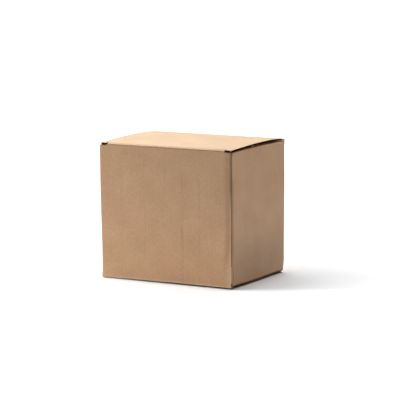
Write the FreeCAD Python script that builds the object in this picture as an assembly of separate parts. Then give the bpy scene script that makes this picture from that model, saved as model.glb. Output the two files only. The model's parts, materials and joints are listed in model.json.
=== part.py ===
import FreeCAD, Part
import math
import os

from FreeCAD import Vector

# A small corrugated mailing box, die-cut from one sheet, folded and shut.
# X runs along the wide front, Y from the front to the back, Z up.
# The origin is on the floor, under the middle of the box. All sizes are in millimetres.
# Both ends close in the same way, and one is the other turned over about X:
# the lid is hinged at the back and tucks in at the front, the base the other way round.

# Driving dimensions: the board, two liners on a fluted middle sheet
board = 1.6
liner = 0.22
flute_sheet = 0.2
flute_pitch = 3.3
flute_crest = 0.8
flute_root = 2.4
mouth_depth = 2.5
side_slot_depth = 1.2

# How it folds
fold_radius = 1.2
layer_gap = 0.2
crease_gap = 0.1

# The folded box, outside its walls
box_width = 110.0
box_depth = 81.0
side_height = 96.0

# The lid and the base: a panel with a tuck flap
lid_side_inset = 0.2
lid_crown = 1.3
tuck_depth = 18.0
tuck_clearance = 0.3
tuck_corner_radius = 8.0
tuck_side_taper = 1.5

# The slit that parts each shoulder of the lid from the tuck flap
shoulder_width = 5.2
shoulder_set_back = 1.0
slit_width = 0.9
slit_reach = 1.2

# The raised lip of the panel that takes the tuck flap
lip_rise = 0.6
lip_end_gap = 0.6

# The dust flaps under the lid and over the base
dust_length = 40.0
dust_end_gap = 0.8
dust_tuck_gap = 0.8
dust_taper_angle = 8.0
dust_corner_radius = 5.0

# The glue flap behind the front panel's right edge
glue_width = 24.0
glue_end_gap = 1.5
glue_taper_angle = 15.0
seam_gap = 0.3

# Levels and faces that follow from the sizes above
half_width = box_width / 2
half_depth = box_depth / 2
base_level = board + layer_gap
side_top = base_level + side_height
hinge_level = side_top + layer_gap + board
inner_front = -half_depth + board
inner_back = half_depth - board
tuck_face = inner_front + layer_gap
tuck_half_width = half_width - shoulder_width
tuck_tip_half = tuck_half_width - tuck_side_taper
tuck_reach = tuck_depth + fold_radius
lid_half_width = half_width - lid_side_inset
shoulder_front = -half_depth + shoulder_set_back

# The tuck flap's tip swings out by this much as the lid turns about its hinge,
# so the flap leans in from the wall by a little more than that.
lid_span = half_depth - tuck_face
tip_swing = tuck_reach ** 2 / (2 * lid_span)
tuck_lean = math.asin((tip_swing + tuck_clearance) / tuck_depth)

right = Vector(1, 0, 0)
back = Vector(0, 1, 0)
up = Vector(0, 0, 1)


def place(y, z, x=0.0):
    """A point, given first by where it lies in the box's side view."""
    return Vector(x, y, z)


def block(x_range, y_range, z_range):
    """A plain block between three pairs of limits."""
    size = [high - low for low, high in (x_range, y_range, z_range)]
    corner = Vector(x_range[0], y_range[0], z_range[0])
    return Part.makeBox(size[0], size[1], size[2], corner)


def prism(points, along):
    """A flat outline, given by its corners in order, pushed along a vector."""
    outline = Part.makePolygon(points + [points[0]])
    return Part.Face(outline).extrude(along)


def across_box(edges, low_x, high_x):
    """A side-view section, closed by its edges, run across the box from one place to another."""
    section = Part.Face(Part.Wire(edges))
    section.translate(low_x * right)
    return section.extrude((high_x - low_x) * right)


def line(start, end):
    """A straight edge between two points."""
    return Part.LineSegment(start, end).toShape()


def arc_edge(centre, radius, start_angle, end_angle):
    """A side-view arc about a centre, with its angles in radians from +Y towards +Z."""
    angles = (start_angle, (start_angle + end_angle) / 2, end_angle)
    points = [centre + radius * place(math.cos(a), math.sin(a)) for a in angles]
    return Part.Arc(points[0], points[1], points[2]).toShape()


def mirrored(shape):
    """The same shape on the box's other side."""
    return shape.mirror(Vector(0, 0, 0), right)


def turned_over(shape):
    """The same shape at the box's other end, turned half round about X."""
    turned = shape.copy()
    turned.rotate(place(0, hinge_level / 2), right, 180)
    return turned


def fused(shapes):
    """Several touching shapes as one solid, with no seams between flush faces."""
    whole = shapes[0].multiFuse(shapes[1:])
    return whole.removeSplitter()


def flute_mouths(length, corner, along, across, inward):
    """The open ends of the flutes in a raw edge that crosses them, as one cutting shape.

    The edge starts at a corner of the board's outer face and runs along the first vector.
    The second vector crosses the board's thickness, and the third goes into the board.
    """
    crest_depth = board - liner - flute_sheet
    root_half = flute_root / 2
    crest_half = flute_crest / 2
    outline = [(-root_half, liner), (root_half, liner), (crest_half, crest_depth), (-crest_half, crest_depth)]
    step = flute_pitch / 2
    count = int((length - 2 * (root_half + liner)) / step) + 1
    first = (length - (count - 1) * step) / 2
    mouths = []
    for number in range(count):
        middle = first + number * step
        points = []
        for offset, depth in outline:
            level = board - depth if number % 2 else depth
            points.append(corner + (middle + offset) * along + level * across - liner * inward)
        mouths.append(prism(points, (mouth_depth + liner) * inward))
    return Part.makeCompound(mouths)


def hinge_crease():
    """The thin slice along the mitre that frees the lid's panel from the back panel."""
    reach = 2 * board
    half_gap = crease_gap / 2
    thin_slice = block((-half_width - board, half_width + board), (-reach, reach), (-half_gap, half_gap))
    thin_slice.rotate(Vector(0, 0, 0), right, 45)
    thin_slice.translate(place(half_depth, hinge_level))
    return thin_slice


def hinge_points():
    """The fold at the hinge: its centre, where its arc meets the mitre, and the mitre's inner end."""
    centre = place(half_depth - fold_radius, hinge_level - fold_radius)
    arc_end = centre + fold_radius * place(math.cos(math.pi / 4), math.sin(math.pi / 4))
    inner = place(inner_back, hinge_level - board)
    return centre, arc_end, inner


def back_panel():
    """The back panel: creased at its top for the lid, and cut at its bottom with a lip."""
    centre, arc_end, inner = hinge_points()
    lip_level = base_level - lip_rise
    outer_low = place(half_depth, lip_level)
    inner_low = place(inner_back, lip_level)
    outer_high = place(half_depth, hinge_level - fold_radius)
    edges = [
        line(outer_low, outer_high),
        arc_edge(centre, fold_radius, 0, math.pi / 4),
        line(arc_end, inner),
        line(inner, inner_low),
        line(inner_low, outer_low),
    ]
    panel = across_box(edges, -half_width, half_width)
    lip_end = tuck_half_width - lip_end_gap
    end_cut = block((lip_end, half_width + board), (0, box_depth), (0, base_level))
    mouths = flute_mouths(2 * lip_end, outer_low - lip_end * right, right, -back, up)
    for cut in (end_cut, mirrored(end_cut), hinge_crease(), mouths):
        panel = panel.cut(cut)
    return panel


def side_wall():
    """The right side panel, with a round fold along its top and its bottom."""
    across = (half_width - board, half_width)
    wall = block(across, (inner_front, inner_back), (base_level, side_top))
    folds = []
    for edge in wall.Edges:
        middle = edge.CenterOfMass
        on_outside = abs(middle.x - half_width) < 1e-6
        at_an_end = min(abs(middle.z - base_level), abs(middle.z - side_top)) < 1e-6
        if on_outside and at_an_end:
            folds.append(edge)
    wall = wall.makeFillet(fold_radius, folds)
    for low in (base_level, side_top - board):
        for near in (inner_front, inner_back - dust_end_gap):
            wall = wall.cut(block(across, (near, near + dust_end_gap), (low, low + board)))
    return wall


def dust_flap():
    """The right dust flap at the top: it lies flat, and stands back from the tuck flap."""
    near = inner_front + dust_end_gap
    far = inner_back - dust_end_gap
    lean_there = (hinge_level - side_top + board) * math.tan(tuck_lean)
    clear_of_tuck = tuck_face + board + lean_there + dust_tuck_gap
    root = half_width - board
    tip = half_width - dust_length
    taper = (tuck_half_width - tip) * math.tan(math.radians(dust_taper_angle))
    tip_near = clear_of_tuck + taper
    tip_far = far - taper / 2
    corners = [(root, near), (tuck_half_width, near), (tuck_half_width, clear_of_tuck)]
    corners += [(tip, tip_near), (tip, tip_far), (root, far)]
    flap = prism([place(y, side_top - board, x) for x, y in corners], board * up)
    tip_edges = []
    for edge in flap.Edges:
        middle = edge.CenterOfMass
        upright = abs(middle.z - side_top + board / 2) < 1e-6
        if upright and abs(middle.x - tip) < 1e-6:
            tip_edges.append(edge)
    flap = flap.makeFillet(dust_corner_radius, tip_edges)
    edge_start = place(tip_near + dust_corner_radius, side_top, tip)
    edge_length = tip_far - tip_near - 2 * dust_corner_radius
    return flap.cut(flute_mouths(edge_length, edge_start, back, -up, right))


def glue_flap_ends():
    """The glue flap's lowest and highest level: clear of the base's dust flap and of the lid's tuck flap."""
    return base_level + board + glue_end_gap, hinge_level - tuck_reach - glue_end_gap


def glue_flap():
    """The glue flap on the right side panel, tapered at both ends."""
    low, high = glue_flap_ends()
    root = half_width - board
    tip = half_width - glue_width
    taper = (root - tip) * math.tan(math.radians(glue_taper_angle))
    corners = [(root, low), (root, high), (tip, high - taper), (tip, low + taper)]
    return prism([place(inner_front, z, x) for x, z in corners], board * back)


def seam_cuts():
    """What parts the front panel's raw edge from the side panel.

    The side panel's fold is round along the glue flap. Past it the two only lie near each other.
    The raw edge is cut along a flute, so a slot runs down it between the liners.
    """
    low, high = glue_flap_ends()
    fold_start = half_width - fold_radius
    corner = block((fold_start, half_width), (inner_front, inner_front + fold_radius), (low, high))
    fold_axis = place(inner_front + fold_radius, low, fold_start)
    corner = corner.cut(Part.makeCylinder(fold_radius, high - low, fold_axis))
    across = (half_width - board, half_width)
    gap = (inner_front, inner_front + seam_gap)
    between_liners = (-half_depth + liner, inner_front - liner)
    slot = block((half_width - side_slot_depth, half_width + board), between_liners, (base_level, hinge_level))
    return [corner, block(across, gap, (high, side_top)), block(across, gap, (base_level, low)), slot]


def rounded_column():
    """The space inside the box's upright folds: three round, and square where the seam is."""
    column = block((-half_width, half_width), (-half_depth, half_depth), (0, hinge_level))
    folds = []
    for edge in column.Edges:
        middle = edge.CenterOfMass
        upright = abs(middle.z - hinge_level / 2) < 1e-6
        at_seam = middle.x > 0 and middle.y < 0
        if upright and not at_seam:
            folds.append(edge)
    return column.makeFillet(fold_radius, folds)


def box_body():
    """The four walls with their glue flap and dust flaps, one folded and glued piece."""
    rear = back_panel()
    side = fused([side_wall(), dust_flap(), turned_over(dust_flap())])
    walls = fused([turned_over(rear), rear, side, mirrored(side), glue_flap()])
    for cut in seam_cuts():
        walls = walls.cut(cut)
    return walls.common(rounded_column())


def panel_edge(points, crown):
    """A lid panel's edge in the side view: a smooth bow drawn to its middle points, or straight."""
    if crown == 0:
        return line(points[0], points[-1])
    curve = Part.BezierCurve()
    curve.setPoles(points)
    return curve.toShape()


def closure(crown):
    """A lid: its panel, bowed up by a crown, its two shoulders and its tuck flap."""
    fold_centre = place(tuck_face + fold_radius, hinge_level - fold_radius)
    hinge_end = place(half_depth - fold_radius, hinge_level)
    span = hinge_end.y - fold_centre.y

    # The bow is fullest past the panel's middle, towards the hinge.
    front_pole = place(fold_centre.y + 0.3 * span, hinge_level + 0.9 * crown)
    back_pole = place(fold_centre.y + 0.75 * span, hinge_level + 1.7 * crown)
    rise = math.atan2(0.9 * crown, 0.3 * span)

    # The fold to the tuck flap is round outside and sharp inside.
    top_normal = place(-math.sin(rise), math.cos(rise))
    tuck_normal = place(-math.cos(tuck_lean), -math.sin(tuck_lean))
    panel_start = fold_centre + fold_radius * top_normal
    spread = 1 + top_normal.dot(tuck_normal)
    fold_inner = fold_centre + (fold_radius - board) / spread * (top_normal + tuck_normal)

    outer_points = [panel_start, front_pole, back_pole, hinge_end]
    panel = lid_panel(outer_points, fold_inner, crown)
    shoulder = lid_shoulder(panel_start, fold_inner)
    tuck = tuck_flap(fold_centre, rise, tuck_normal, panel_start, fold_inner)
    lid = fused([panel, shoulder, mirrored(shoulder), tuck])

    # The slit's inner end nicks the panel beside each shoulder.
    nick = block(
        (tuck_half_width - slit_width, tuck_half_width),
        (-half_depth, panel_start.y + slit_reach),
        (hinge_level - 2 * board, hinge_level + board),
    )
    slot = lid_side_slot(outer_points, fold_inner, crown)
    for cut in (nick, mirrored(nick), slot, mirrored(slot), hinge_crease()):
        lid = lid.cut(cut)
    return lid


def lid_panel(outer_points, fold_inner, crown):
    """The lid's panel, of even thickness, from the tuck fold to the mitre at the hinge."""
    panel_start, front_pole, back_pole, hinge_end = outer_points
    centre, arc_end, inner = hinge_points()
    down = -board * up
    edges = [
        panel_edge(outer_points, crown),
        arc_edge(centre, fold_radius, math.pi / 2, math.pi / 4),
        line(arc_end, inner),
        panel_edge([inner, back_pole + down, front_pole + down, fold_inner], crown),
        line(fold_inner, panel_start),
    ]
    return across_box(edges, -lid_half_width, lid_half_width)


def lid_side_slot(outer_points, fold_inner, crown):
    """The slot between the liners along the lid's right edge, which is cut along a flute."""
    panel_start, front_pole, back_pole, hinge_end = outer_points
    upper = -liner * up
    lower = (liner - board) * up
    clear_front = shoulder_front - board
    top = [point + upper for point in outer_points]
    bottom = [hinge_end + lower, back_pole + lower, front_pole + lower, fold_inner + liner * up]
    front_top = place(clear_front, top[0].z)
    front_bottom = place(clear_front, bottom[-1].z)
    edges = [
        line(front_top, top[0]),
        panel_edge(top, crown),
        line(top[-1], bottom[0]),
        panel_edge(bottom, crown),
        line(bottom[-1], front_bottom),
        line(front_bottom, front_top),
    ]
    return across_box(edges, lid_half_width - side_slot_depth, lid_half_width + board)


def lid_shoulder(panel_start, fold_inner):
    """The right shoulder, beside the tuck flap, which rests over the front panel's corner."""
    front_top = place(shoulder_front, panel_start.z)
    corners = [front_top, panel_start, fold_inner, place(shoulder_front, fold_inner.z)]
    width = lid_half_width - tuck_half_width
    shoulder = prism([corner + tuck_half_width * right for corner in corners], width * right)
    edge_start = front_top + tuck_half_width * right
    return shoulder.cut(flute_mouths(width - side_slot_depth, edge_start, right, -up, back))


def tuck_flap(fold_centre, rise, tuck_normal, panel_start, fold_inner):
    """The tuck flap and its fold: it leans in from the wall, and its free corners are round."""
    down = place(math.sin(tuck_lean), -math.cos(tuck_lean))
    tuck_start = fold_centre + fold_radius * tuck_normal
    outer_tip = tuck_start + tuck_depth * down
    inner_tip = outer_tip - board * tuck_normal
    edges = [
        line(panel_start, fold_inner),
        line(fold_inner, inner_tip),
        line(inner_tip, outer_tip),
        line(outer_tip, tuck_start),
        arc_edge(fold_centre, fold_radius, math.pi + tuck_lean, math.pi / 2 + rise),
    ]
    flap = across_box(edges, -tuck_half_width, tuck_half_width)
    flap = flap.common(tuck_outline(outer_tip.z))
    straight_half = tuck_tip_half - tuck_corner_radius
    edge_start = outer_tip - straight_half * right
    return flap.cut(flute_mouths(2 * straight_half, edge_start, right, -1 * tuck_normal, -1 * down))


def tuck_outline(tip_level):
    """The tuck flap's outline from the front, as a prism that runs through it."""
    top = hinge_level + board
    fold_level = hinge_level - fold_radius
    corners = [(-tuck_half_width, top), (-tuck_half_width, fold_level), (-tuck_tip_half, tip_level)]
    corners += [(tuck_tip_half, tip_level), (tuck_half_width, fold_level), (tuck_half_width, top)]
    outline = prism([place(-half_depth, z, x) for x, z in corners], tuck_reach * back)
    tip_edges = []
    for edge in outline.Edges:
        middle = edge.CenterOfMass
        if abs(middle.z - tip_level) < 1e-6 and abs(abs(middle.x) - tuck_tip_half) < 1e-6:
            tip_edges.append(edge)
    return outline.makeFillet(tuck_corner_radius, tip_edges)


def main():
    pieces = {
        "box_body": box_body(),
        "lid": closure(lid_crown),
        "base_flap": turned_over(closure(0)),
    }
    os.makedirs("parts", exist_ok=True)
    for name, shape in pieces.items():
        bounds = shape.BoundBox
        print(name, "solids", len(shape.Solids), "valid", shape.isValid(), "volume", round(shape.Volume, 1))
        print("  from", round(bounds.XMin, 2), round(bounds.YMin, 2), round(bounds.ZMin, 2))
        print("  to", round(bounds.XMax, 2), round(bounds.YMax, 2), round(bounds.ZMax, 2))
        shape.Solids[0].exportStep(os.path.join("parts", name + ".step"))


main()
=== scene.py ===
# %% [markdown]
# # A small corrugated box, shut
# The box is one sheet of brown board, folded, glued along one upright corner and tucked shut. The packed
# model already holds its true shape, so this lesson dresses that shape: it bows the panels a little, rounds
# what a crease rounds, opens the cut edges and makes the paper.

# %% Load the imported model
import json
import math

import bmesh
import bpy
from mathutils import Matrix, Vector, noise
from mathutils.bvhtree import BVHTree


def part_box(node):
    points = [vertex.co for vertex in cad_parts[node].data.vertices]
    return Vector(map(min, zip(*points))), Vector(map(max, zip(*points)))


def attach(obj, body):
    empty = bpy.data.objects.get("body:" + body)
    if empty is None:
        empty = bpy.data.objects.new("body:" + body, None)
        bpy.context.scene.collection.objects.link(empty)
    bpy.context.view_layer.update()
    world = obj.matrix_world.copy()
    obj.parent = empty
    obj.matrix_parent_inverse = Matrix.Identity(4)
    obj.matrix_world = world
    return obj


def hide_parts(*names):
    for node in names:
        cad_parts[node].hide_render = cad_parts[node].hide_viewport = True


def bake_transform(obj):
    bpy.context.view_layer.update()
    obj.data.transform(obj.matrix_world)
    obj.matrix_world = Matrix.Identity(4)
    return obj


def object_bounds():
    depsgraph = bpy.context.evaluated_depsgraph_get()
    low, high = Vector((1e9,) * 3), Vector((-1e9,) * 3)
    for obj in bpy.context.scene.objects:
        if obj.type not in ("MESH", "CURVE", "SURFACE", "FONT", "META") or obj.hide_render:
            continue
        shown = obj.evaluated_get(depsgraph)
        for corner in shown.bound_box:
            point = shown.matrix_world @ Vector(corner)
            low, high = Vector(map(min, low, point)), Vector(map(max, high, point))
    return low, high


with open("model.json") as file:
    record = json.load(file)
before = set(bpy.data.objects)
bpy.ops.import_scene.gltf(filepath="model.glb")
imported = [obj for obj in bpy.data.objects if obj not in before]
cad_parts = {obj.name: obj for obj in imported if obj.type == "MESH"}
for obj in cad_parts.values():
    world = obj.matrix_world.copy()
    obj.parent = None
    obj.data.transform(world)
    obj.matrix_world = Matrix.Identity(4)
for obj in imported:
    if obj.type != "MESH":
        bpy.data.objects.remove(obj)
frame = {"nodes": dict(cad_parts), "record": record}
cad_low, cad_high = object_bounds()
MM = 0.001
print("box in mm:", [round(side / MM, 1) for side in cad_high - cad_low])

# %% [markdown]
# ## Camera
# A product photographer stands well back with a long lens, so that upright edges stay nearly upright. The
# camera is worked out from the direction it looks in, its distance, and where the middle of the box falls
# in the square picture. That is easier to correct than a place typed in by hand.

# %% Place the camera
PICTURE_SIZE = 400
FOCAL_PIXELS = 2250
SENSOR = 36.0
VIEW_YAW = math.radians(30.30)
VIEW_PITCH = math.radians(8.50)
VIEW_ROLL = math.radians(-0.57)
VIEW_DISTANCE = 1.649
BOX_MIDDLE = Vector((0, 0, 0.050))
BOX_MIDDLE_PIXEL = (193.06, 207.56)
FAR_CLIP = 20

forward = Vector((-math.sin(VIEW_YAW) * math.cos(VIEW_PITCH), math.cos(VIEW_YAW) * math.cos(VIEW_PITCH),
                  -math.sin(VIEW_PITCH)))
level_right = Vector((math.cos(VIEW_YAW), math.sin(VIEW_YAW), 0))
level_up = level_right.cross(forward)
view_right = math.cos(VIEW_ROLL) * level_right + math.sin(VIEW_ROLL) * level_up
view_up = math.cos(VIEW_ROLL) * level_up - math.sin(VIEW_ROLL) * level_right
aside = (BOX_MIDDLE_PIXEL[0] - PICTURE_SIZE / 2) / FOCAL_PIXELS
above = (PICTURE_SIZE / 2 - BOX_MIDDLE_PIXEL[1]) / FOCAL_PIXELS
eye = BOX_MIDDLE - VIEW_DISTANCE * (forward + aside * view_right + above * view_up)

camera_data = bpy.data.cameras.new("camera")
camera_data.sensor_width = SENSOR
camera_data.lens = FOCAL_PIXELS * SENSOR / PICTURE_SIZE
camera_data.clip_end = FAR_CLIP
camera = bpy.data.objects.new("camera", camera_data)
turn = Matrix((view_right, view_up, -forward)).transposed().to_4x4()
camera.matrix_world = Matrix.Translation(eye) @ turn
bpy.context.scene.collection.objects.link(camera)
bpy.context.scene.camera = camera
print("camera at", [round(place, 3) for place in eye], "lens", round(camera_data.lens, 1))

# %% [markdown]
# ## Wiring nodes
# The room, the floor and every paper are small trees of nodes. Wired one link at a time they are long to
# read, so each idea, such as a noise, a sum or a soft step, gets a helper that adds its nodes and returns
# the result.

# %% Helpers for node trees
def node_in(tree, kind, **settings):
    """Adds a node and sets its properties and, by socket name, its unlinked inputs."""
    made = tree.nodes.new(kind)
    for name, value in settings.items():
        if hasattr(made, name):
            setattr(made, name, value)
        else:
            made.inputs[name.replace("_", " ")].default_value = value
    return made


def joined(tree, source, target):
    tree.links.new(source, target)


def number_step(tree, operation, first, second=None):
    """One Math node on a socket and, where it takes a second value, a fixed number or another socket."""
    made = node_in(tree, "ShaderNodeMath", operation=operation)
    joined(tree, first, made.inputs[0])
    if isinstance(second, bpy.types.NodeSocket):
        joined(tree, second, made.inputs[1])
    elif second is not None:
        made.inputs[1].default_value = second
    return made.outputs[0]


def multiplied(tree, first, second):
    return number_step(tree, "MULTIPLY", first, second)


def vector_step(tree, operation, vector, other=(0, 0, 0)):
    made = node_in(tree, "ShaderNodeVectorMath", operation=operation)
    joined(tree, vector, made.inputs[0])
    made.inputs[1].default_value = other
    return made.outputs["Value" if operation == "LENGTH" else "Vector"]


def weighed_sum(tree, terms):
    """Adds up value times weight over several terms."""
    total = None
    for value, weight in terms:
        step = node_in(tree, "ShaderNodeMath", operation="MULTIPLY_ADD")
        joined(tree, value, step.inputs[0])
        step.inputs[1].default_value = weight
        if total is None:
            step.inputs[2].default_value = 0.0
        else:
            joined(tree, total, step.inputs[2])
        total = step.outputs[0]
    return total


def spread(tree, value, low, high, to_low=0.0, to_high=1.0):
    """Maps a value's span to another one, and holds it there at both ends."""
    made = node_in(tree, "ShaderNodeMapRange", From_Min=low, From_Max=high, To_Min=to_low, To_Max=to_high)
    joined(tree, value, made.inputs["Value"])
    return made.outputs["Result"]


def parts_of(tree, vector):
    """A node whose outputs X, Y and Z are the parts of a vector."""
    made = node_in(tree, "ShaderNodeSeparateXYZ")
    joined(tree, vector, made.inputs["Vector"])
    return made


# %% [markdown]
# ## Light
# Two soft lamps stand on the left, a little in front, so the shadow falls to the right and slightly back.
# Wide ones hang overhead, above the back and at the back left. They make the lid the palest face and open
# the shadow to a light grey. One sun lamp would be simpler, but its shadow would be hard. Lamps are aimed
# by a small helper, which turns the lamp's own -Z axis to the box. The room itself gives a dim even fill.
# Only the camera sees it as pure white. The paper is matt and there is no metal or glass, so no reflection
# has to show the white as well, and the fill stays low.

# %% Lamps
bpy.context.scene.view_settings.view_transform = "Standard"
AIM = Vector((0, 0, 0.05))
# Each lamp: its name, its place and the side of its square in metres, and its power in watts.
LAMPS = (
    ("lamp_left_front", (-0.50, -0.28, 0.62), 0.5, 3.1),
    ("lamp_left_high", (-0.42, -0.15, 0.85), 0.6, 3.5),
    ("lamp_overhead", (0.0, 0.0, 1.3), 1.0, 6.6),
    ("lamp_over_back", (0.0, 1.0, 1.2), 1.2, 11.2),
    ("lamp_back_left", (-0.7, 0.6, 0.9), 0.8, 4.8),
)


def soft_lamp(name, place, side, power):
    data = bpy.data.lights.new(name, "AREA")
    data.shape = "RECTANGLE"
    data.size = side
    data.size_y = side
    data.energy = power
    lamp = bpy.data.objects.new(name, data)
    aim = (AIM - place).to_track_quat("-Z", "Y").to_matrix().to_4x4()
    lamp.matrix_world = Matrix.Translation(place) @ aim
    bpy.context.scene.collection.objects.link(lamp)


for lamp_name, lamp_place, lamp_side, lamp_power in LAMPS:
    soft_lamp(lamp_name, Vector(lamp_place), lamp_side, lamp_power)
print("lamps:", [row[0] for row in LAMPS])

# %% Room light
ROOM_GLOW = 0.10
world = bpy.data.worlds.new("room")
bpy.context.scene.world = world
world.use_nodes = True
room = world.node_tree
background = room.nodes["Background"]
background.inputs["Color"].default_value = (1, 1, 1, 1)
camera_sees = node_in(room, "ShaderNodeLightPath").outputs["Is Camera Ray"]
joined(room, spread(room, camera_sees, 0, 1, ROOM_GLOW, 1.0), background.inputs["Strength"])
print("the room gives", ROOM_GLOW, "and the camera sees 1")

# %% [markdown]
# ## Floor
# The table is a plain white sheet. To the camera it has to be pure white and still show the soft shadow, so
# a little glow is added for camera rays only. It lights nothing. It is least against the walls of the box,
# where the contact shadow is deepest, and grows with the distance, because far off the sheet is background.
# In front of the box, and on along the near edge of its shadow, a second glow fades in and out again, since
# the studio's light reaches the sheet best there. Both are measured from the box, so they keep their place
# in every view.

# %% Floor sheet
FLOOR_HALF_SIDE = 6.0
floor_mesh = bpy.data.meshes.new("floor")
sheet = bmesh.new()
bmesh.ops.create_grid(sheet, x_segments=1, y_segments=1, size=FLOOR_HALF_SIDE)
sheet.to_mesh(floor_mesh)
sheet.free()
floor = bpy.data.objects.new("floor", floor_mesh)
bpy.context.scene.collection.objects.link(floor)
print("floor", 2 * FLOOR_HALF_SIDE, "m wide")

# %% Floor paper
FLOOR_WHITE = (0.755, 0.765, 0.775)
white_floor = bpy.data.materials.new("white_floor")
white_floor.use_nodes = True
tree = white_floor.node_tree
floor_shader = tree.nodes["Principled BSDF"]
floor_shader.inputs["Base Color"].default_value = (*FLOOR_WHITE, 1)
floor_shader.inputs["Roughness"].default_value = 1.0
floor_shader.inputs["Specular IOR Level"].default_value = 0.0
floor_shader.inputs["Emission Color"].default_value = (1, 1, 1, 1)
floor_mesh.materials.append(white_floor)
print("floor paper", FLOOR_WHITE)

# %% Glow by distance
# Each row is a span of distance from the walls, in mm, and the glow at its near and far end.
GLOW_STEPS = ((0, 12, 0.04, 0.11), (35, 80, 0.0, 0.03), (100, 1000, 0.0, 0.90))
floor_place = node_in(tree, "ShaderNodeTexCoord").outputs["Object"]
from_middle = vector_step(tree, "ABSOLUTE", floor_place)
from_walls = vector_step(tree, "SUBTRACT", from_middle, (cad_high.x, cad_high.y, 0))
distance = vector_step(tree, "LENGTH", vector_step(tree, "MAXIMUM", from_walls))
glows = []
for near, far, near_glow, far_glow in GLOW_STEPS:
    glows.append((spread(tree, distance, near * MM, far * MM, near_glow, far_glow), 1.0))
print("glow steps:", len(glows))

# %% Glow in front
# The glow rises over the first span before the front and falls over the second, in mm. Its middle line
# turns back past the right corner, as the shadow's near edge does, by the slant over the reach.
SHADOW_SLANT, SLANT_REACH = 0.56, 1.0
FRONT_GLOW = 0.16
FRONT_GLOW_SPANS = ((-6, 9, 0.0, FRONT_GLOW), (9, 75, 1.0, 0.0))
floor_parts = parts_of(tree, floor_place)
slant_end = cad_high.x + SLANT_REACH
past_corner = spread(tree, floor_parts.outputs["X"], cad_high.x, slant_end, 0.0, SHADOW_SLANT)
before_front = weighed_sum(tree, ((past_corner, 1.0), (floor_parts.outputs["Y"], -1.0)))
rise_and_fall = [
    spread(tree, before_front, cad_high.y + near * MM, cad_high.y + far * MM, near_glow, far_glow)
    for near, far, near_glow, far_glow in FRONT_GLOW_SPANS
]
glows.append((multiplied(tree, *rise_and_fall), 1.0))
seen_by_camera = node_in(tree, "ShaderNodeLightPath").outputs["Is Camera Ray"]
floor_glow = multiplied(tree, seen_by_camera, weighed_sum(tree, glows))
joined(tree, floor_glow, floor_shader.inputs["Emission Strength"])
print("floor has", len(tree.nodes), "nodes")

# %% [markdown]
# ## Paper
# Kraft liner is unbleached paper: cloudy in tone, streaked along the way it was made, with single fibres
# and flecks of bark. A photograph of paper could be pasted on, but built from noise it has no seams and
# needs no file. The grain is one node group, because the liner and the raw edges are the same pulp. It
# reads the sheet's own map in millimetres, so the streaks follow each panel, and gives a tone, a hue, a
# mask of flecks, a relief and a nap.

# %% Paper grain
# Each layer of noise: how much finer it is across and along the sheet, then its scale, detail and roughness.
GRAIN_LAYERS = {
    "clouds": ((1, 1, 1), 0.05, 3, 0.55),
    "streaks": ((0.55, 0.035, 1), 1.0, 3, 0.6),
    "fibres": ((1.3, 0.5, 1), 1.0, 2, 0.6),
    "pulp": ((1, 1, 1), 3.2, 2, 0.6),
    "nap": ((0.75, 0.5, 1), 1.0, 2, 0.55),
    "hue": ((1, 1, 1), 0.032, 2, 0.5),
}
TONE_WEIGHTS = {"clouds": 0.46, "streaks": 0.14, "fibres": 0.19, "pulp": 0.21}
RELIEF_WEIGHTS = {"fibres": 0.5, "pulp": 0.5}
# Noise keeps near its middle, so these spans of it are stretched to run from 0 to 1.
OUTPUT_SPANS = {"Tone": (0.36, 0.64), "Hue": (0.38, 0.62), "Nap": (0.30, 0.70)}


def noise_of(tree, vector, scale, detail, roughness):
    made = node_in(tree, "ShaderNodeTexNoise", Scale=scale, Detail=detail, Roughness=roughness)
    joined(tree, vector, made.inputs["Vector"])
    return made.outputs["Fac"]


def stretched(tree, vector, scale):
    made = node_in(tree, "ShaderNodeMapping", Scale=scale)
    joined(tree, vector, made.inputs["Vector"])
    return made.outputs["Vector"]


grain = bpy.data.node_groups.new("paper_grain", "ShaderNodeTree")
grain.interface.new_socket(name="Sheet", in_out="INPUT", socket_type="NodeSocketVector")
for output_name in ("Tone", "Hue", "Flecks", "Relief", "Nap"):
    grain.interface.new_socket(name=output_name, in_out="OUTPUT", socket_type="NodeSocketFloat")
sheet_place = grain.nodes.new("NodeGroupInput").outputs["Sheet"]
grain_out = grain.nodes.new("NodeGroupOutput")
layers = {}
for layer_name, (stretch, *noise_settings) in GRAIN_LAYERS.items():
    layers[layer_name] = noise_of(grain, stretched(grain, sheet_place, stretch), *noise_settings)
tone = weighed_sum(grain, [(layers[name], weight) for name, weight in TONE_WEIGHTS.items()])
relief = weighed_sum(grain, [(layers[name], weight) for name, weight in RELIEF_WEIGHTS.items()])
for output_name, source in (("Tone", tone), ("Hue", layers["hue"]), ("Nap", layers["nap"])):
    joined(grain, spread(grain, source, *OUTPUT_SPANS[output_name]), grain_out.inputs[output_name])
joined(grain, relief, grain_out.inputs["Relief"])
print("layers of grain:", list(layers))

# %% Flecks of bark
FLECK_SCALE = 0.5
FLECK_STRETCH = (1.0, 0.55, 1)
FLECK_EDGE, FLECK_CORE, FLECK_DEPTH = 0.26, 0.10, 0.5
FLECK_RARE, FLECK_STRENGTH = 0.86, 0.8
fleck_spots = node_in(grain, "ShaderNodeTexVoronoi", Scale=FLECK_SCALE, Randomness=1.0)
joined(grain, stretched(grain, sheet_place, FLECK_STRETCH), fleck_spots.inputs["Vector"])
fleck_shape = spread(grain, fleck_spots.outputs["Distance"], FLECK_EDGE, FLECK_CORE, 0.0, FLECK_DEPTH)
fleck_choice = node_in(grain, "ShaderNodeSeparateColor")
joined(grain, fleck_spots.outputs["Color"], fleck_choice.inputs["Color"])
fleck_chosen = spread(grain, fleck_choice.outputs["Red"], FLECK_RARE, 1.0, 0.0, FLECK_STRENGTH)
joined(grain, multiplied(grain, fleck_shape, fleck_chosen), grain_out.inputs["Flecks"])
print("paper grain has", len(grain.nodes), "nodes")

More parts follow.
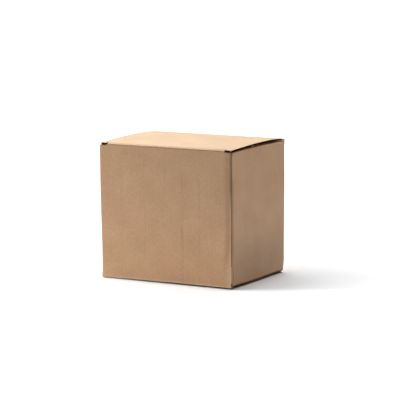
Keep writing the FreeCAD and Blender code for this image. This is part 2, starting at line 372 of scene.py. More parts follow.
# %% [markdown]
# ## Liner
# The liner takes the grain as colour and as a very small bump. Under it the flutes show as faint stripes,
# like a washboard, 3.3 mm apart: a very small bump, with a faint painted shade in its valleys. The clouds and
# streaks follow the sheet's map. The painted light and shade on the folded box belong to one place of it, so
# they read the object's own coordinates instead.

# %% Helpers for papers
SHEET_MAP = "board_map"
# A Mix node has sockets of the same name for each kind of data, so its colours go by their place.
FIRST_COLOUR, SECOND_COLOUR, MIXED_COLOUR = 6, 7, 2


def sheet_in_mm(tree):
    """The sheet's own map, where one unit is a millimetre of paper."""
    own_map = node_in(tree, "ShaderNodeUVMap", uv_map=SHEET_MAP)
    return stretched(tree, own_map.outputs["UV"], (1 / MM, 1 / MM, 1 / MM))


def new_paper(name, roughness, gloss):
    """A new material with the grain placed in it. Returns it with its shader and its grain."""
    material = bpy.data.materials.new(name)
    material.use_nodes = True
    own_tree = material.node_tree
    shader = own_tree.nodes["Principled BSDF"]
    shader.inputs["Roughness"].default_value = roughness
    shader.inputs["Specular IOR Level"].default_value = gloss
    placed_grain = node_in(own_tree, "ShaderNodeGroup", node_tree=grain)
    joined(own_tree, sheet_in_mm(own_tree), placed_grain.inputs["Sheet"])
    return material, shader, placed_grain


def raised(tree, shader, height, strength, distance):
    """Gives the shader a bump from a height."""
    bump = node_in(tree, "ShaderNodeBump", Strength=strength, Distance=distance)
    joined(tree, height, bump.inputs["Height"])
    joined(tree, bump.outputs["Normal"], shader.inputs["Normal"])


def mixed(tree, share, first, second, blend="MIX"):
    """Mixes two colours, each a fixed one or a socket, by a share from 0 to 1."""
    made = node_in(tree, "ShaderNodeMix", data_type="RGBA", blend_type=blend)
    sockets = (made.inputs["Factor"], made.inputs[FIRST_COLOUR], made.inputs[SECOND_COLOUR])
    for socket, value in zip(sockets, (share, first, second)):
        if isinstance(value, bpy.types.NodeSocket):
            joined(tree, value, socket)
        elif isinstance(value, tuple):
            socket.default_value = (*value, 1)
        else:
            socket.default_value = value
    return made.outputs[MIXED_COLOUR]


# %% Bare liner
KRAFT_DEEP = (0.612, 0.356, 0.190)
KRAFT_PALE = (0.720, 0.440, 0.245)
KRAFT_ROSY = (1.018, 0.985, 0.99)
KRAFT_STRAW = (0.99, 1.008, 0.985)
BARK = (0.36, 0.20, 0.10)
BLACK = (0, 0, 0)
PITCH_OF_FLUTES = 3.3
STRIPE_SHADE = 0.012
GRAIN_RELIEF, STRIPE_RELIEF, LINER_BUMP = 0.06, 0.02, 0.35
kraft_liner, liner_shader, liner_grain = new_paper("kraft_liner", roughness=0.55, gloss=0.6)
tree = kraft_liner.node_tree
sheet_mm = sheet_in_mm(tree)
across = parts_of(tree, sheet_mm).outputs["X"]
washboard = number_step(tree, "SINE", multiplied(tree, across, 2 * math.pi / PITCH_OF_FLUTES))
colour = mixed(tree, liner_grain.outputs["Tone"], KRAFT_DEEP, KRAFT_PALE)
hue = mixed(tree, liner_grain.outputs["Hue"], KRAFT_ROSY, KRAFT_STRAW)
colour = mixed(tree, 1.0, colour, hue, "MULTIPLY")
colour = mixed(tree, liner_grain.outputs["Flecks"], colour, BARK)
# Painted shade: the washboard's valleys are made a touch darker.
colour = mixed(tree, spread(tree, washboard, -1, 1, STRIPE_SHADE, 0.0), colour, BLACK)
liner_relief = weighed_sum(tree, ((liner_grain.outputs["Relief"], GRAIN_RELIEF), (washboard, STRIPE_RELIEF)))
raised(tree, liner_shader, liner_relief, LINER_BUMP, 1 * MM)
print("bare liner from", KRAFT_DEEP, "to", KRAFT_PALE)

# %% [markdown]
# ## Painted light and shade on the liner
# The front has faint darker upright lines, painted shade of soft ridges in it. Beside the glued corner a band
# of painted shade leans out to the edge near the foot, and above it the front panel's rim has a darker
# painted shade. The front is painted darker towards its top and right, as shade, and paler and warmer towards
# its foot, as light from the table, with painted highlights along the foot's rim and at the foot of the glued
# corner. The right side has painted shade low down, its fold has painted light at the back, and the lid has a
# pale painted sheen. Each mark is a mask, full inside a few spans of the box, and a colour that it lets
# through. One image painted by hand would do as well, but it would need a file.

# %% Helpers for marks
FRONT = ("Y", -38.6, -39.6)
RIGHT_SIDE = ("X", 53.2, 53.8)


def patch(tree, place, spans):
    """A mask that is 1 where all spans are full. Each is an axis, its start, its full place and its least."""
    mask = None
    for axis, start, full, *least in spans:
        part = spread(tree, place.outputs[axis], start * MM, full * MM, *least)
        mask = part if mask is None else multiplied(tree, mask, part)
    return mask


def hump(tree, value, middle, half_span):
    """A soft bump of 1 at one place of a value, falling to 0 half a span away on both sides."""
    away = number_step(tree, "ABSOLUTE", number_step(tree, "SUBTRACT", value, middle * MM))
    made = node_in(tree, "ShaderNodeMapRange", interpolation_type="SMOOTHSTEP", From_Min=half_span * MM,
                   From_Max=0.0)
    joined(tree, away, made.inputs["Value"])
    return made.outputs["Result"]


def marked(tree, under, mask, strength, paint, blend="MIX"):
    """Lets a colour through a mask, at most by the given strength."""
    return mixed(tree, spread(tree, mask, 0, 1, 0, strength), under, paint, blend)


box_place = parts_of(tree, node_in(tree, "ShaderNodeTexCoord").outputs["Object"])
on_front = patch(tree, box_place, (FRONT,))
print("the front's marks start at y", FRONT[1], "mm")

# %% Painted shade lines on the front
# Painted shade: faint darker upright lines, the shade of soft ridges in the front.
# Each line: its place on the front, half its width, its depth, and the heights where it starts and is full.
RIDGE_SHADE_LINES = (
    (0.6, 1.2, 0.13, 70, 80),
    (14.3, 1.5, 0.10, 84, 74),
    (28.3, 1.2, 0.06, 80, 70),
    (-37.0, 1.8, 0.02, -1, 0),
    (-17.0, 1.4, 0.02, -1, 0),
)
RIDGE_SHADE_STRENGTH = 1.6
RIDGE_SHADE_STRETCH = (0.4, 0.06, 1)
RIDGE_SHADE_NOISE = (1.0, 2, 0.6)
RIDGE_SHADE_WAVER = (0.40, 0.62)
NAP_SHADE = 0.14
colour = marked(tree, colour, multiplied(tree, liner_grain.outputs["Nap"], on_front), NAP_SHADE, BLACK)
ridge_shade_noise = noise_of(tree, stretched(tree, sheet_mm, RIDGE_SHADE_STRETCH), *RIDGE_SHADE_NOISE)
ridge_shade_waver = multiplied(tree, spread(tree, ridge_shade_noise, *RIDGE_SHADE_WAVER), on_front)
for ridge_place, ridge_half, ridge_shade_depth, ridge_shade_start, ridge_shade_full in RIDGE_SHADE_LINES:
    ridge_shade = multiplied(tree, hump(tree, box_place.outputs["X"], ridge_place, ridge_half), ridge_shade_waver)
    ridge_shade = multiplied(tree, ridge_shade, patch(tree, box_place, (("Z", ridge_shade_start, ridge_shade_full),)))
    colour = marked(tree, colour, ridge_shade, RIDGE_SHADE_STRENGTH * ridge_shade_depth, BLACK)
print("rub lines:", len(RIDGE_SHADE_LINES))

# %% The glued corner
GLUE_SHADE = (0.05, 0.02, 0.01)
GLUE_LEAN = 2.2
GLUE_MIDDLE, GLUE_HALF, GLUE_STRENGTH = 52.2, 3.6, 0.24
RIM_MIDDLE, RIM_HALF, RIM_STRENGTH = 55.0, 2.2, 0.62
# Painted shade: a band beside the glued corner, the shade of a shallow dent, which leans out to the edge near
# the foot, and a darker painted shade on the front panel's rim above it.
leaning = patch(tree, box_place, (("Z", 38, 18),))
glue_place = weighed_sum(tree, ((box_place.outputs["X"], 1.0), (leaning, GLUE_LEAN * MM)))
glue_painted_shade = multiplied(tree, hump(tree, glue_place, GLUE_MIDDLE, GLUE_HALF),
                       patch(tree, box_place, (FRONT, ("Z", 8, 26, 0.3))))
colour = marked(tree, colour, glue_painted_shade, GLUE_STRENGTH, GLUE_SHADE)
rim_painted_shade = multiplied(tree, hump(tree, box_place.outputs["X"], RIM_MIDDLE, RIM_HALF),
                         patch(tree, box_place, (FRONT, ("Z", 56, 72))))
colour = marked(tree, colour, rim_painted_shade, RIM_STRENGTH, GLUE_SHADE)
print("glue band at x", GLUE_MIDDLE, "mm")

# %% Painted light and shade on the front, the right side and the lid
# Each mark: its spans of the box, its strength, its colour and how that is mixed in.
# Every mark here is painted light or shade: painted light at the foot of the glued corner, painted shade
# darkening the front towards its top and right, a painted highlight on the foot's rim, painted light from the
# table warming the front's foot, painted shade low on the right side, painted light on the right side's fold
# under the lid at the back, and a pale painted sheen on the lid.
PAINTED_LIGHT_AND_SHADE = {
    "painted light at the foot of the glued corner": (
        (FRONT, ("X", 48, 51), ("Z", 24, 8)), 0.20, (0.80, 0.60, 0.42), "MIX"),
    "painted shade towards the top and right": (
        (FRONT, ("Z", 5, 92), ("X", -60, 50, 0.45)), 0.24, (0.16, 0.085, 0.04), "MIX"),
    "painted highlight on the foot's rim": (
        (FRONT, ("Z", 3.2, 1.4)), 0.35, (0.85, 0.66, 0.48), "MIX"),
    "painted light from the table on the foot": (
        (FRONT, ("Z", 60, 15)), 1.0, (1.06, 1.045, 1.03), "MULTIPLY"),
    "painted shade low on the right side": (
        (RIGHT_SIDE, ("Z", 38, 13), ("Z", 3, 18, 0.2), ("Y", -41, -33)), 0.27, (0.10, 0.06, 0.04), "MIX"),
    "painted light on the fold under the lid": (
        (RIGHT_SIDE, ("Y", 22, 32), ("Z", 96.5, 97.1), ("Z", 98.0, 97.8)), 0.75, (0.95, 0.70, 0.50), "MIX"),
    "painted sheen on the lid": (
        (("Z", 99.2, 99.6),), 1.0, (0.84, 0.95, 1.02), "MULTIPLY"),
}
for spans, strength, paint, blend in PAINTED_LIGHT_AND_SHADE.values():
    colour = marked(tree, colour, patch(tree, box_place, spans), strength, paint, blend)
joined(tree, colour, liner_shader.inputs["Base Color"])
print("painted_light:", ", ".join(PAINTED_LIGHT_AND_SHADE))
print("kraft liner has", len(tree.nodes), "nodes")

# %% [markdown]
# ## Raw edges
# Where board is cut, the eye sees torn pulp between two thin liners, and past it into the flutes. Both are
# the same paper in its own shade, so they take the same grain over darker browns. No light gets far into a
# flute, so the insides of the flutes and the lid's and the base's edges are painted almost black, as painted
# shade. The lid's edge is painted paler low down where it meets the wall at the back, as painted light from
# the wall's lit fold below it, and the base's edge shows its pale lower liner where it stands on the table.
# The glued corner's edge is pressed flat, and it and the narrow valley behind it are painted pale, as painted
# light over their shade.

# %% Cut edges, flutes and the shaded crease
EDGE_GLOSS = 0.2
EDGE_BUMP = 0.5


def darker_paper(name, deep, pale, roughness, relief):
    """A material of the same pulp in other browns, with its relief in mm."""
    material, shader, pulp = new_paper(name, roughness, EDGE_GLOSS)
    own_tree = material.node_tree
    joined(own_tree, mixed(own_tree, pulp.outputs["Tone"], deep, pale), shader.inputs["Base Color"])
    raised(own_tree, shader, pulp.outputs["Relief"], EDGE_BUMP, relief * MM)
    return material


def paler_where(material, spans, tone):
    """Lets paler paper show on a raw edge, where every one of the given spans of the box is reached."""
    own_tree = material.node_tree
    base = own_tree.nodes["Principled BSDF"].inputs["Base Color"]
    own_place = parts_of(own_tree, node_in(own_tree, "ShaderNodeTexCoord").outputs["Object"])
    dark = base.links[0].from_socket
    joined(own_tree, mixed(own_tree, patch(own_tree, own_place, spans), dark, tone), base)


# Each paper: its name, its deep and its pale tone, its roughness and its relief.
# Painted shade: DEEP_EDGE and the flutes' insides are near black, the shade deep in the flutes.
DEEP_EDGE, PALE_EDGE = (0.020, 0.009, 0.004), (0.10, 0.052, 0.024)
cut_edge = darker_paper("cut_edge", (0.15, 0.075, 0.034), (0.36, 0.20, 0.10), 0.9, 0.1)
lid_edge = darker_paper("lid_edge", DEEP_EDGE, PALE_EDGE, 0.95, 0.2)
# Painted light: the lid's edge is paler low down at the back, where the wall's lit fold shows under it.
paler_where(lid_edge, (("Y", 18, 36), ("Z", 99.5, 98.9)), (0.80, 0.56, 0.36))
foot_edge = darker_paper("foot_edge", DEEP_EDGE, PALE_EDGE, 0.95, 0.2)
# The base's edge shows its pale lower liner where it stands on the table.
paler_where(foot_edge, (("Z", 0.9, 0.6),), (0.60, 0.40, 0.24))
flute_inside = darker_paper("flute_inside", (0.012, 0.006, 0.003), (0.03, 0.015, 0.007), 0.95, 0.1)
crease_shade = darker_paper("crease_shade", (0.03, 0.015, 0.008), (0.07, 0.036, 0.018), 0.9, 0.05)
# Painted light: the glued corner's raw edge and the valley behind it are painted pale over their shade.
seam_painted_light = darker_paper("seam_painted_light", (0.30, 0.17, 0.085), (0.50, 0.31, 0.175), 0.9, 0.05)
edge_papers = (cut_edge, lid_edge, foot_edge, flute_inside, crease_shade, seam_painted_light)
print("edge papers:", [paper.name for paper in edge_papers])

# %% [markdown]
# ## Measures of the box
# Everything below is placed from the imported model: the hinge lines come from its record and the panels from
# its boxes. Lengths are in metres, so a small MM keeps the numbers readable.

# %% Measures
BOARD = 1.6 * MM
FOLD_RADIUS = 1.2 * MM
joints = {joint["name"]: joint for joint in frame["record"]["behaviour"]["joints"]}
lid_line = Vector(joints["lid_hinge"]["pos_m"])
half_width = cad_high.x
half_depth = lid_line.y
top_level = lid_line.z
middle_level = top_level / 2
lid_half_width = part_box("lid")[1].x
TUCK_HALF_WIDTH = 49.8 * MM
print("hinge line at y", round(half_depth / MM, 2), "z", round(top_level / MM, 2))

# %% [markdown]
# ## Relaxed board
# A folded box is never as straight as its drawing. Its foot is drawn in a little by the glued corner and
# the tucked base, its top stands slightly wider, and each panel dishes between its creases. The side walls
# rise under the lid's crown, the front foot stands a hair off the table, since its crease is crushed, and
# the back right foot was knocked in. A finer nibble keeps the cut edges from being perfectly straight. All
# of it is one small move for every point in space, so outer and inner liner move together and the board
# keeps its thickness, and touching flaps stay apart as they were. A lattice could do it, but not as
# locally.

# %% How far the panels sink and lean
FOOT_DRAW = 0.011
DRAWN_BELOW = 12 * MM
STRAIGHT_ABOVE = 74 * MM
DISH = 0.30 * MM
WAVE = 0.16 * MM
WAVE_LENGTH = 34 * MM
WALL_REACH = 6 * MM
WALL_FULL = 3.5 * MM


def ease(low, high, value):
    share = min(max((value - low) / (high - low), 0.0), 1.0)
    return share * share * (3 - 2 * share)


def dish_depth(along, along_half, level):
    """How far a panel sinks at one place: nothing at its creases, most in its middle."""
    across_share = 1 - (along / along_half) ** 2
    level_share = 1 - ((level - middle_level) / middle_level) ** 2
    free = max(across_share, 0) * max(level_share, 0)
    wave = noise.noise(Vector((along, level, along_half)) / WAVE_LENGTH)
    return free * (DISH + WAVE * wave)


print("foot drawn in by", round(FOOT_DRAW * half_width / MM, 2), "mm a side")

# %% Where the board stands up or is knocked in
RIM_LIFT = 0.50 * MM
RIM_FREE = 38 * MM
RIM_START, RIM_FULL = 12 * MM, 2 * MM
RIM_FOOT, RIM_TOP = 80 * MM, 96 * MM
LID_STARTS, LID_FULL = 97.9 * MM, 98.7 * MM
FOOT_LIFT = 0.45 * MM
FOOT_LIFT_TOP = 20 * MM
FOOT_LIFT_BACK = -10 * MM
LEFT_FOOT_SHARE, LEFT_FOOT_END = 0.65, -20 * MM
KNOCK = Vector((-0.9, -0.3, 0)) * MM
KNOCKED_BELOW = 11 * MM
KNOCK_STARTS = -10 * MM


def rim_lift(point):
    """How far the top of a side wall rises under the crown of the lid. The lid itself, above it, stays."""
    near_wall = ease(half_width - RIM_START, half_width - RIM_FULL, abs(point.x))
    under_crown = ease(RIM_FOOT, RIM_TOP, point.z) * (1 - ease(LID_STARTS, LID_FULL, point.z))
    return RIM_LIFT * near_wall * under_crown * max(1 - (point.y / RIM_FREE) ** 2, 0)


def foot_lift(point):
    """How far the front foot stands off the table, since its crease is crushed. Less at the left corner."""
    low_front = (1 - ease(0, FOOT_LIFT_TOP, point.z)) * (1 - ease(-half_depth, FOOT_LIFT_BACK, point.y))
    to_the_right = ease(-half_width, LEFT_FOOT_END, point.x)
    return FOOT_LIFT * low_front * (LEFT_FOOT_SHARE + (1 - LEFT_FOOT_SHARE) * to_the_right)


def knocked_in(point):
    """How far the back right foot was pushed in."""
    knock_share = (1 - ease(0, KNOCKED_BELOW, point.z)) * ease(KNOCK_STARTS, half_depth, point.y)
    return KNOCK * knock_share * ease(0, half_width, point.x)


print("rim up by", RIM_LIFT / MM, "mm, front foot by", FOOT_LIFT / MM, "mm")

# %% One move for every point
# The noise that gives a direction starts from the clock unless it is given a seed.
NIBBLE = 0.03 * MM
NIBBLE_LENGTH = 5.0 * MM
LEVEL_SKIN = 2 * MM
NIBBLE_SEED = 11
noise.seed_set(NIBBLE_SEED)


def relaxed(point):
    """Where a point of the drawn box lies on the real one."""
    draw = 1 - FOOT_DRAW * (1 - ease(DRAWN_BELOW, STRAIGHT_ABOVE, point.z))
    tight = 1 - NIBBLE / half_depth
    on_long_panel = ease(half_depth - WALL_REACH, half_depth - WALL_FULL, abs(point.y))
    on_side_panel = ease(half_width - WALL_REACH, half_width - WALL_FULL, abs(point.x))
    inwards_y = math.copysign(on_long_panel * dish_depth(point.x, half_width, point.z), point.y)
    inwards_x = math.copysign(on_side_panel * dish_depth(point.y, half_depth, point.z), point.x)
    nibble = NIBBLE * noise.noise_vector(point / NIBBLE_LENGTH) + knocked_in(point)
    off_the_skin = ease(0, LEVEL_SKIN, min(point.z, abs(cad_high.z - point.z)))
    return Vector((
        point.x * draw * tight - inwards_x + nibble.x,
        point.y * draw * tight - inwards_y + nibble.y,
        point.z + rim_lift(point) + foot_lift(point) + nibble.z * off_the_skin,
    ))


corner_now = relaxed(Vector((half_width, half_depth, 0)))
print("back right foot now at", [round(place / MM, 2) for place in corner_now], "mm")

# %% [markdown]
# ## Sheet pieces
# The imported mesh is loose triangles, so each piece starts from a welded copy of it. Where the lid and the
# base turn, a strip of board is cut away to make room for a crease. The copy is then sliced by a grid,
# because a large flat face has no points inside it to move, and every face is told apart: smooth liner, raw
# cut edge, the dark inside of a flute, or the pressed edge along the glued corner, which is painted pale as
# painted light over its shade.

# %% Copy and cut
CREASE_REACH = 4 * MM
WELD = 0.002 * MM
FLAT_ENOUGH = math.radians(0.05)


def cleaned(piece):
    """Welds the corners of a mesh and joins the triangles of each flat face."""
    bmesh.ops.remove_doubles(piece, verts=piece.verts, dist=WELD)
    bmesh.ops.dissolve_limit(piece, angle_limit=FLAT_ENOUGH, verts=piece.verts, edges=piece.edges)
    return piece


def welded_copy(node):
    piece = bmesh.new()
    piece.from_mesh(node.data)
    return cleaned(piece)


def object_from(piece, name):
    mesh = bpy.data.meshes.new(name)
    piece.to_mesh(mesh)
    piece.free()
    made = bpy.data.objects.new(name, mesh)
    bpy.context.scene.collection.objects.link(made)
    return made


def cut_away(piece, low, high):
    """The piece without what lies between two corners, closed again where it is cut."""
    whole = object_from(piece, "whole")
    cutter_block = bmesh.new()
    bmesh.ops.create_cube(cutter_block, size=1)
    bmesh.ops.scale(cutter_block, vec=high - low, verts=cutter_block.verts)
    bmesh.ops.translate(cutter_block, vec=(low + high) / 2, verts=cutter_block.verts)
    cutter = object_from(cutter_block, "cutter")
    cut = whole.modifiers.new("cut", "BOOLEAN")
    cut.operation = "DIFFERENCE"
    cut.solver = "EXACT"
    cut.object = cutter
    shaped = whole.evaluated_get(bpy.context.evaluated_depsgraph_get())
    rest = bmesh.new()
    rest.from_mesh(shaped.to_mesh())
    for scratch in (whole, cutter):
        mesh = scratch.data
        bpy.data.objects.remove(scratch)
        bpy.data.meshes.remove(mesh)
    return cleaned(rest)


print("room for each crease:", CREASE_REACH / MM, "mm")

# %% Slice
SLICE = 3.0 * MM
SLICE_SHIFT = 0.13 * MM
ON_PLANE = 0.001 * MM


def slice_at(piece, place, direction):
    everything = piece.verts[:] + piece.edges[:] + piece.faces[:]
    bmesh.ops.bisect_plane(piece, geom=everything, dist=ON_PLANE, plane_co=place, plane_no=direction)


def slice_in_grid(piece):
    """Cuts through the whole piece every few millimetres, so that its flat faces can bend."""
    for axis in range(3):
        direction = Vector((0, 0, 0))
        direction[axis] = 1
        low = min(vertex.co[axis] for vertex in piece.verts)
        high = max(vertex.co[axis] for vertex in piece.verts)
        steps = max(round((high - low) / SLICE), 1)
        for step in range(1, steps):
            slice_at(piece, (low + (high - low) * step / steps + SLICE_SHIFT) * direction, direction)


print("a slice every", SLICE / MM, "mm")

# %% Tell the faces apart
LINER, CUT_EDGE, FLUTE_INSIDE, SEAM = range(4)
KIND_NAMES = ("liner", "cut edge", "flute inside", "seam")
FLUTE_SPAN = 1.5 * MM
THICKEST_BOARD = 2.15 * BOARD
SKIN = 0.05 * MM
SECOND_LOOK = Vector((0.031, 0.027, 0.023)) * MM
PARALLEL = 0.3
SIDE_FOLD = 1.3 * BOARD
LONG_FOLD = 1.5 * BOARD
END_FOLD = 2.3 * BOARD


def in_a_fold(centre, normal, has_tuck):
    """Whether a face belongs to a round fold, where the board behind it is thick but the liner runs on."""
    beside = abs(centre.x) > half_width - SIDE_FOLD
    before = abs(centre.y) > half_depth - LONG_FOLD
    at_an_end = abs(centre.z - middle_level) > middle_level - END_FOLD
    if has_tuck:
        return before and at_an_end and abs(normal.x) < PARALLEL and abs(centre.x) < TUCK_HALF_WIDTH
    if beside and before and abs(normal.z) < PARALLEL:
        raw_seam = centre.x > 0 and abs(normal.y) < PARALLEL and centre.y < BOARD - half_depth
        return not raw_seam
    return beside and at_an_end and abs(normal.y) < PARALLEL and abs(centre.y) < half_depth - BOARD


def kind_of_face(face, tree, has_tuck):
    """A face that looks across a narrow gap is in a flute. One with much board behind it is a cut edge."""
    centre = face.calc_center_median()
    normal = face.normal
    if tree.ray_cast(centre + SKIN * normal, normal, FLUTE_SPAN)[0] is not None:
        return FLUTE_INSIDE
    if in_a_fold(centre, normal, has_tuck):
        return LINER
    for aside in (Vector((0, 0, 0)), SECOND_LOOK, -SECOND_LOOK):
        if tree.ray_cast(centre + aside - SKIN * normal, -normal, THICKEST_BOARD)[0] is not None:
            return LINER
    return CUT_EDGE


print("kinds of face:", KIND_NAMES)

# %% [markdown]
# ## The sheet's own map
# Every panel was once part of one flat sheet, and the paper's streaks and the flutes run on across its
# folds. The map gives each face its place on that sheet in metres: u runs round the four walls, v from base
# to lid. It is worked out face by face from the drawn shape, before anything is bent.

# %% Unroll the board
WALL_BOARD = 1.1 * BOARD
FLAP_BOARDS = 3 * BOARD


def unroll_wall(point, centre):
    if centre.y > half_depth - WALL_BOARD:
        return 2 * half_width + half_depth + point.y - point.x, point.z
    if centre.x < WALL_BOARD - half_width and centre.y > BOARD - half_depth:
        return point.x - point.y - half_depth, point.z
    return point.x + point.y + half_depth, point.z


def unroll_dust_flap(point, centre):
    side = math.copysign(1, centre.x)
    inwards = half_width - abs(point.x)
    u = side * (half_width + half_depth + point.y)
    return (u, top_level + inwards) if centre.z > middle_level else (u, -inwards)


def unroll_body(point, centre):
    beside = abs(centre.x) > half_width - WALL_BOARD or abs(centre.y) > half_depth - WALL_BOARD
    at_an_end = abs(centre.z - middle_level) > middle_level - FLAP_BOARDS
    return unroll_dust_flap(point, centre) if at_an_end and not beside else unroll_wall(point, centre)


def unroll_lid(point, centre):
    return 2 * (half_width + half_depth) - point.x, 2 * top_level + half_depth - point.y - point.z


def unroll_base(point, centre):
    return point.x, -half_depth - point.y - point.z


def unroll_lid_crease(point, centre):
    return 2 * (half_width + half_depth) - point.x, point.z + half_depth - point.y


def unroll_base_crease(point, centre):
    return point.x, point.z - half_depth - point.y


def unroll(piece, rule):
    layer = piece.loops.layers.uv.new(SHEET_MAP)
    for face in piece.faces:
        centre = face.calc_center_median()
        for corner in face.loops:
            corner[layer].uv = rule(corner.vert.co, centre)


print("sheet round the walls:", round(4 * (half_width + half_depth) / MM), "mm")

# %% [markdown]
# ## Special faces
# Three places are told apart by where they are: the round fold at the top of a side wall, which is painted
# dark with the cut-edge paper as painted shade of the lid, the raw edge along the glued corner, which is
# painted pale over its shade, and the slot between its two liners. The flutes are crushed in that slot, so
# its bottom is brought forward almost to the edge.

# %% Shading, folds and seam
SHARP = math.radians(28)
SQUARE_ON = 0.9
SHADED_TO = 22 * MM
SHADED_SLOPES = (0.94, 0.98)
SLOT_FILL = 0.95 * MM
SLOT_DEPTHS = (1.5 * MM, 0.8 * MM)
SEAM_DEPTHS = (1.6 * MM, 2.5 * MM)
# Below this height the seam's edge and valley take the liner paper, as painted light where the gap would be
# shaded.
SEAM_PAINTED_SHUT_BELOW = 15 * MM


def soften(piece):
    """Round shading over the folds, and a sharp line wherever the board is cut."""
    for face in piece.faces:
        face.smooth = True
    for edge in piece.edges:
        edge.smooth = len(edge.link_faces) == 2 and edge.calc_face_angle() < SHARP


def under_the_lid(face):
    """The round fold at the top of a side wall, under the lid, which is given the darker cut-edge paper as
    painted shade.
    """
    centre = face.calc_center_median()
    along = BOARD - half_depth < centre.y < SHADED_TO
    rounded = SHADED_SLOPES[0] < face.normal.z < SHADED_SLOPES[1]
    return centre.z > top_level - FLAP_BOARDS and along and rounded


def in_the_seam_slot(face):
    """The bottom of the slot between the front panel's two liners, at its cut along the glued corner."""
    centre = face.calc_center_median()
    deep, shallow = SLOT_DEPTHS
    across_slot = half_width - deep < centre.x < half_width - shallow and face.normal.x > SQUARE_ON
    along_slot = BOARD < centre.z < top_level - 2 * BOARD
    return across_slot and along_slot and -half_depth < centre.y < BOARD - half_depth


def on_the_seam(face):
    """The raw edge of the front panel and the narrow valley behind it, beside the glued fold."""
    centre = face.calc_center_median()
    return centre.x > half_width - SEAM_DEPTHS[0] and centre.y < SEAM_DEPTHS[1] - half_depth


print("the slot's bottom comes forward by", SLOT_FILL / MM, "mm")

# %% Dress one piece of board
def sheet_piece(name, node_name, body, cuts, has_tuck, edge_paper, rule):
    """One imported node, dressed: cut back at its creases, sliced, told apart, unrolled and relaxed."""
    piece = welded_copy(frame["nodes"][node_name])
    for low, high in cuts:
        piece = cut_away(piece, low, high)
    tree = BVHTree.FromBMesh(piece)
    slice_in_grid(piece)
    bmesh.ops.dissolve_degenerate(piece, dist=ON_PLANE / 2, edges=piece.edges)
    counts = [0, 0, 0, 0]
    for face in piece.faces:
        kind = kind_of_face(face, tree, has_tuck)
        # Painted shade: the fold under the lid takes the darker cut-edge paper.
        if not has_tuck and kind == LINER and under_the_lid(face):
            kind = CUT_EDGE
        # Painted light: the seam's edge and valley take the pale seam paper, and the liner low down, over
        # their shade.
        if not has_tuck and kind != LINER and on_the_seam(face):
            kind = SEAM if face.calc_center_median().z > SEAM_PAINTED_SHUT_BELOW else LINER
        face.material_index = kind
        counts[kind] += 1
    unroll(piece, rule)
    crushed = {vertex for face in piece.faces if in_the_seam_slot(face) for vertex in face.verts}
    for vertex in crushed:
        vertex.co.x += SLOT_FILL
    soften(piece)
    for vertex in piece.verts:
        vertex.co = relaxed(vertex.co)
    made = object_from(piece, name)
    for material in (kraft_liner, edge_paper, flute_inside, seam_painted_light):
        made.data.materials.append(material)
    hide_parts(node_name)
    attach(made, body)
    print(name, dict(zip(KIND_NAMES, counts)))


# %% The three pieces of board
CREASE_GAP = 0.1 * MM
past = 3 * BOARD
top_crease_high = Vector((half_width + past, half_depth + past, top_level + past))
back_low = Vector((-half_width - past, half_depth - BOARD, top_level - CREASE_REACH))
lid_cut_low = Vector((-half_width - past, half_depth - CREASE_REACH, top_level - BOARD - CREASE_GAP))


def upside_down(corner):
    """The same corner at the base: the box turned over about its middle, left to right kept."""
    return Vector((corner.x, -corner.y, top_level - corner.z))


def box_between(first, second):
    """Two opposite corners, sorted into the low one and the high one."""
    low = Vector([min(pair) for pair in zip(first, second)])
    high = Vector([max(pair) for pair in zip(first, second)])
    return low, high


back_cut = box_between(back_low, top_crease_high)
front_cut = box_between(upside_down(back_low), upside_down(top_crease_high))
lid_cut = box_between(lid_cut_low, top_crease_high)
base_cut = box_between(upside_down(lid_cut_low), upside_down(top_crease_high))

sheet_piece("board_body", "box_body", "box", (back_cut, front_cut), False, cut_edge, unroll_body)
sheet_piece("board_lid", "lid", "lid", (lid_cut,), True, lid_edge, unroll_lid)
sheet_piece("board_base", "base_flap", "base", (base_cut,), True, foot_edge, unroll_base)

# %% [markdown]
# ## Creases
# The real crease is one run of board, crushed along a line, so it stretches and never opens. Each is a bent
# strip drawn as a profile, pushed out along the box and rounded outside. A straight strip bent by a modifier
# would need a separate rig. The foot of the front lies in its own shade, which is thin at the left and
# thicker to the right.

# %% Draw and slice a strip
FOLD_SEGMENTS = 8
STRIP_SLICES = 36
BEND_SLICES = 3
BEND_STEP = 0.6 * MM


def bent_strip():
    """The crease at the lid: a bent profile, pushed out along the box, rounded outside and sliced."""
    profile = (
        (half_depth - BOARD, top_level - CREASE_REACH),
        (half_depth, top_level - CREASE_REACH),
        (half_depth, top_level),
        (half_depth - CREASE_REACH, top_level),
        (half_depth - CREASE_REACH, top_level - BOARD),
        (half_depth - BOARD, top_level - BOARD),
    )
    strip = bmesh.new()
    near_end = strip.faces.new([strip.verts.new((-lid_half_width, y, z)) for y, z in profile])
    pushed = bmesh.ops.extrude_face_region(strip, geom=[near_end])["geom"]
    moved = [item for item in pushed if isinstance(item, bmesh.types.BMVert)]
    bmesh.ops.translate(strip, vec=Vector((2 * lid_half_width, 0, 0)), verts=moved)
    outer = [
        edge for edge in strip.edges
        if all(abs(end.co.y - half_depth) < SKIN and abs(end.co.z - top_level) < SKIN for end in edge.verts)
    ]
    bmesh.ops.bevel(strip, geom=outer, offset=FOLD_RADIUS, offset_type="OFFSET", segments=FOLD_SEGMENTS,
                    profile=0.5, affect="EDGES", material=-1)
    for step in range(1, STRIP_SLICES):
        slice_at(strip, Vector((lid_half_width * (2 * step / STRIP_SLICES - 1), 0, 0)), Vector((1, 0, 0)))
    for step in range(1, BEND_SLICES + 1):
        for direction, start in ((Vector((0, 1, 0)), half_depth), (Vector((0, 0, 1)), top_level)):
            slice_at(strip, (start - FOLD_RADIUS - step * BEND_STEP) * direction, direction)
    return strip


print("slices along a crease:", STRIP_SLICES)

# %% Dress a crease
SHADED = 2
SHADE_LEAST = 0.16 * MM
SHADE_MORE = 0.50 * MM
SHADE_STARTS, SHADE_GROWS, SHADE_FULL = -48 * MM, -44 * MM, 5 * MM
FACES_FRONT = -0.15


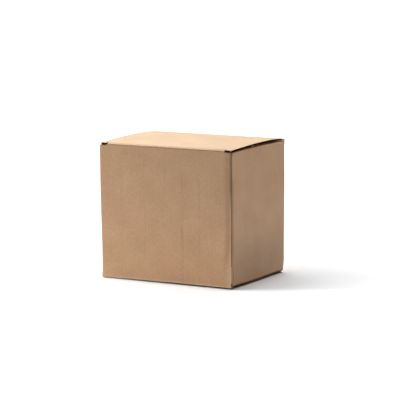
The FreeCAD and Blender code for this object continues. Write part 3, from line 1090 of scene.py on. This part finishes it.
def in_the_foot_shade(face):
    """The lowest strip of the front's foot, where the table's shadow climbs on it."""
    middle = face.calc_center_median()
    shaded_below = SHADE_LEAST + SHADE_MORE * ease(SHADE_GROWS, SHADE_FULL, middle.x)
    return middle.z < shaded_below and face.normal.y < FACES_FRONT and middle.x > SHADE_STARTS


def crease_strip(name, turned, end_paper, rule):
    """One crease between a body and its flap, dressed."""
    strip = bent_strip()
    if turned:
        half_turn = Matrix.Translation((0, 0, top_level / 2)) @ Matrix.Rotation(math.pi, 4, "X")
        half_turn = half_turn @ Matrix.Translation((0, 0, -top_level / 2))
        bmesh.ops.transform(strip, matrix=half_turn, verts=strip.verts)
    bmesh.ops.recalc_face_normals(strip, faces=strip.faces)
    for face in strip.faces:
        face.material_index = CUT_EDGE if abs(face.normal.x) > SQUARE_ON else LINER
        if in_the_foot_shade(face):
            face.material_index = SHADED
    unroll(strip, rule)
    soften(strip)
    for vertex in strip.verts:
        vertex.co = relaxed(vertex.co)
    made = object_from(strip, name)
    for material in (kraft_liner, end_paper, crease_shade):
        made.data.materials.append(material)
    reach = (CREASE_REACH - BOARD) / 2
    start = Vector((0, half_depth + reach, top_level - reach))
    end = Vector((0, half_depth - reach, top_level + reach))
    if turned:
        start = upside_down(start)
        end = upside_down(end)
    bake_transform(made)
    print(name, "has", len(made.data.polygons), "faces")


crease_strip("lid_crease", False, kraft_liner, unroll_lid_crease)
crease_strip("base_crease", True, cut_edge, unroll_base_crease)

# %% [markdown]
# ## Torn fibres
# The knife that cut the lid left two bits of torn liner on its right edge. They catch light in the dark
# gap. Each is a thin scrap, a flattened cube narrowed at its lower end, which is enough at its size.

# %% Torn fibres on the lid's edge
# Each scrap: its place along the edge and its height, then its width and how far it hangs, in mm.
TORN_FIBRES = ((-8.7, 99.15, 1.7, 0.9), (-1.4, 99.65, 1.1, 0.5))
TORN_EDGE = 54.9
TORN_THICKNESS = 0.16
TORN_TAPER = (0.7, 0.5, 1)
TORN_SLANT = 0.25
torn = bmesh.new()
for torn_y, torn_z, torn_width, torn_height in TORN_FIBRES:
    scrap = bmesh.ops.create_cube(torn, size=1)["verts"]
    bmesh.ops.scale(torn, vec=Vector((TORN_THICKNESS, torn_width, torn_height)) * MM, verts=scrap)
    tip = [vertex for vertex in scrap if vertex.co.z < 0]
    bmesh.ops.scale(torn, vec=TORN_TAPER, verts=tip)
    bmesh.ops.translate(torn, vec=Vector((0, TORN_SLANT, 0)) * MM, verts=tip)
    bmesh.ops.translate(torn, vec=Vector((TORN_EDGE, torn_y, torn_z)) * MM, verts=scrap)
unroll(torn, unroll_lid)
torn_fibres = object_from(torn, "torn_fibres")
torn_fibres.data.materials.append(kraft_liner)
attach(torn_fibres, "lid")
print("torn fibres:", len(TORN_FIBRES))
